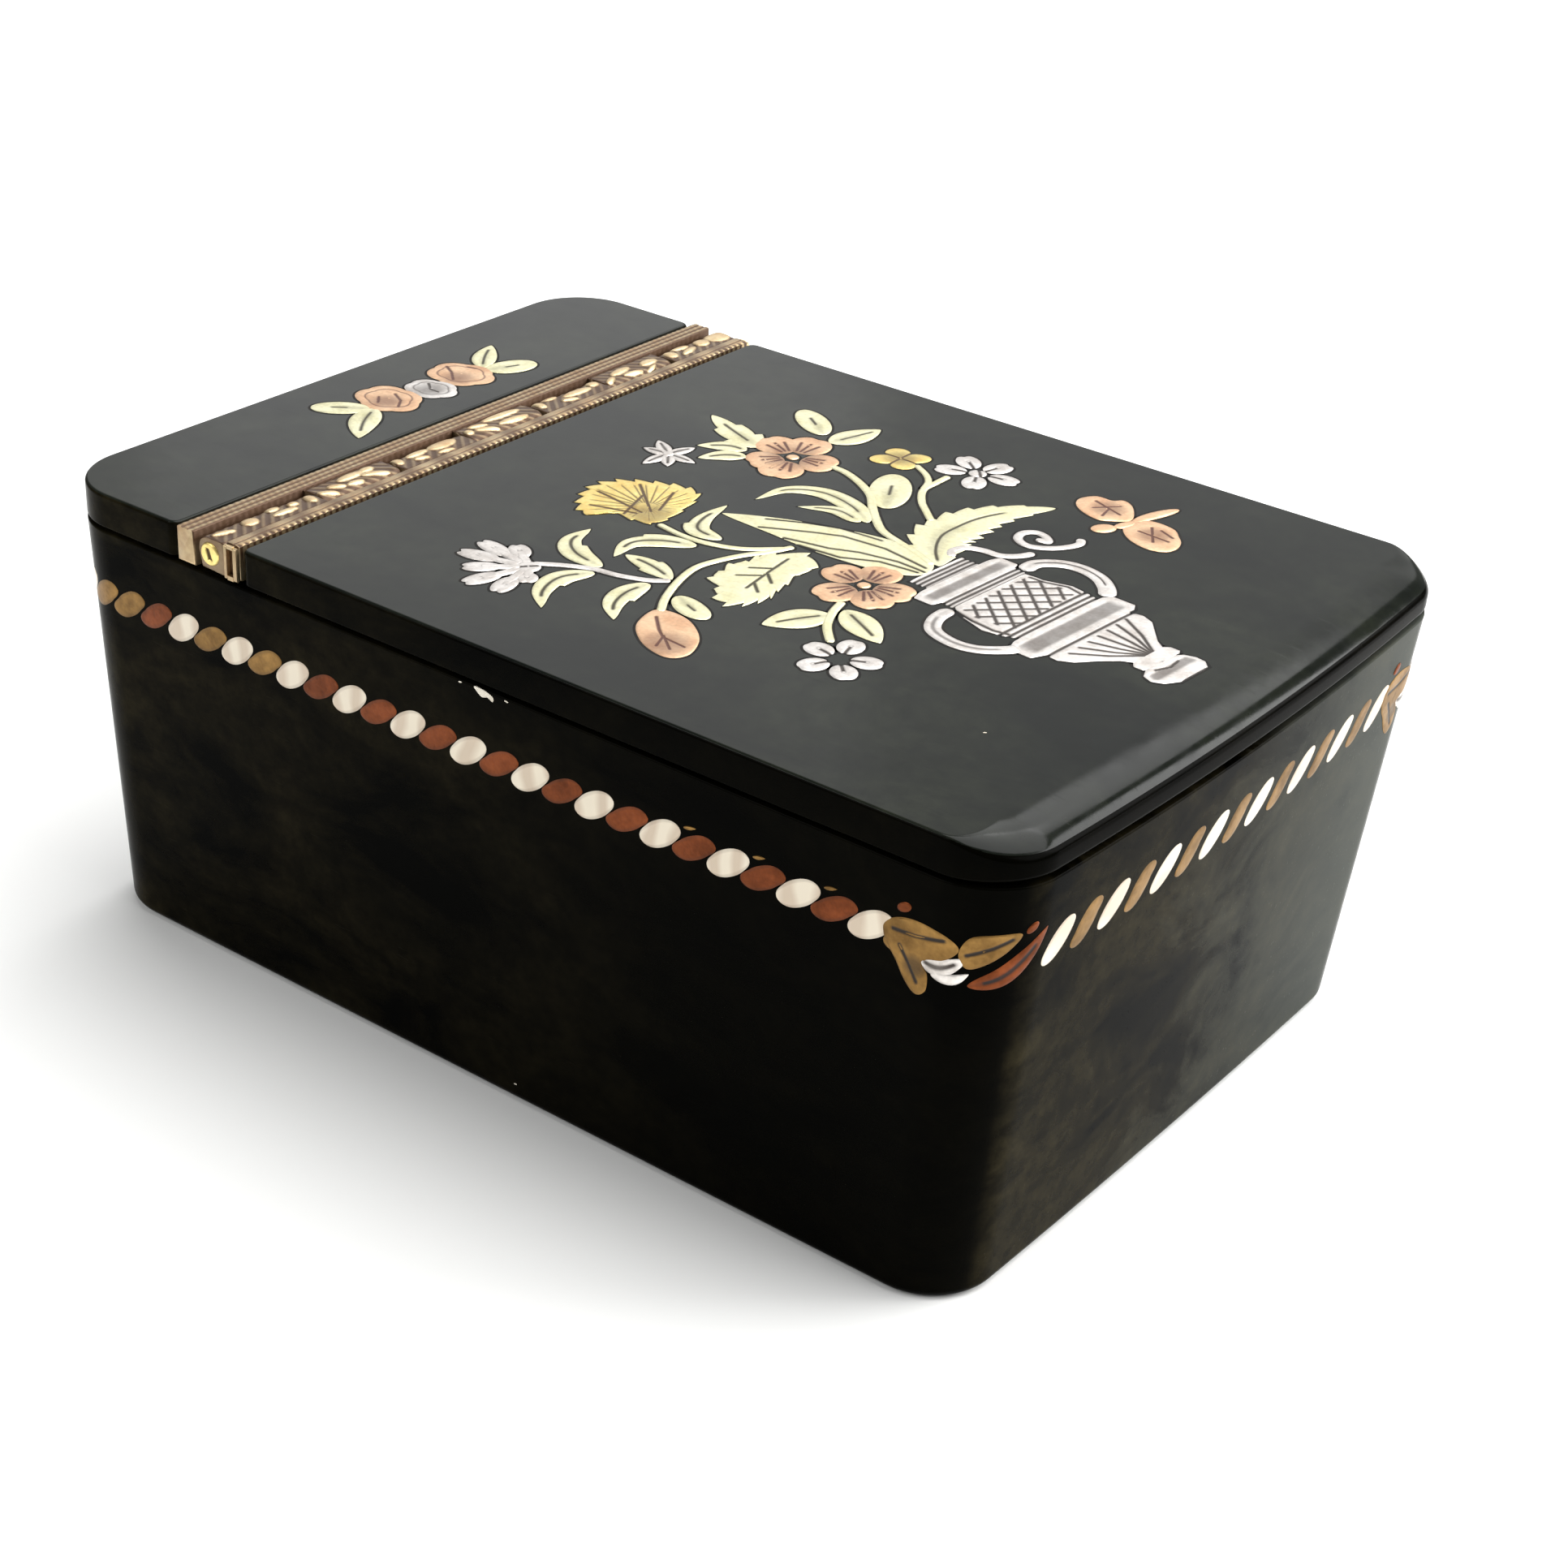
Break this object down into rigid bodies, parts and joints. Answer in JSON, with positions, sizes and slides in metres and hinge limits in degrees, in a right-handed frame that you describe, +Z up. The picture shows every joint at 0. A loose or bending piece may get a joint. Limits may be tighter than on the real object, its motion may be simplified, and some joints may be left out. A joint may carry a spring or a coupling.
{
  "type": "snuff box",
  "caption": "Rectangular hinged snuff box with a hollow body, a full-width strap hinge across the top and flush inlaid ornament on the lid.",
  "frame": {"origin": "centre of the box's bounding rectangle at the underside", "axes": "+X from the hinge end to the thumb end, +Y across the box, +Z up"},
  "size_m": [0.0852, 0.0582, 0.0362],
  "materials": {
    "tortoiseshell": "polished",
    "gilt_brass": "satin",
    "yellow_gold": "polished",
    "green_gold": "satin",
    "silver": "satin",
    "rose_gold": "satin",
    "mother_of_pearl": "polished"
  },
  "bodies": {
    "box": {"box_body": "tortoiseshell", "rear_top_plate": "tortoiseshell", "hinge_rear_leaf": "gilt_brass", "hinge_pin": "yellow_gold", "rope_border_inlay": "mother_of_pearl", "rose_spray_inlay": "rose_gold"},
    "lid": {"lid": "tortoiseshell", "hinge_front_leaf": "gilt_brass", "bouquet_inlay": "green_gold", "vase_inlay": "silver", "star_flower_inlay": "silver", "tendril_inlay": "silver", "butterfly_inlay": "rose_gold"}
  },
  "joints": [
    {"name": "lid_hinge", "type": "hinge", "parent": "box", "child": "lid", "pos_m": [-0.02608, 0, 0.03488], "axis": [0, -1, 0], "range_deg": [0, 90]}
  ]
}
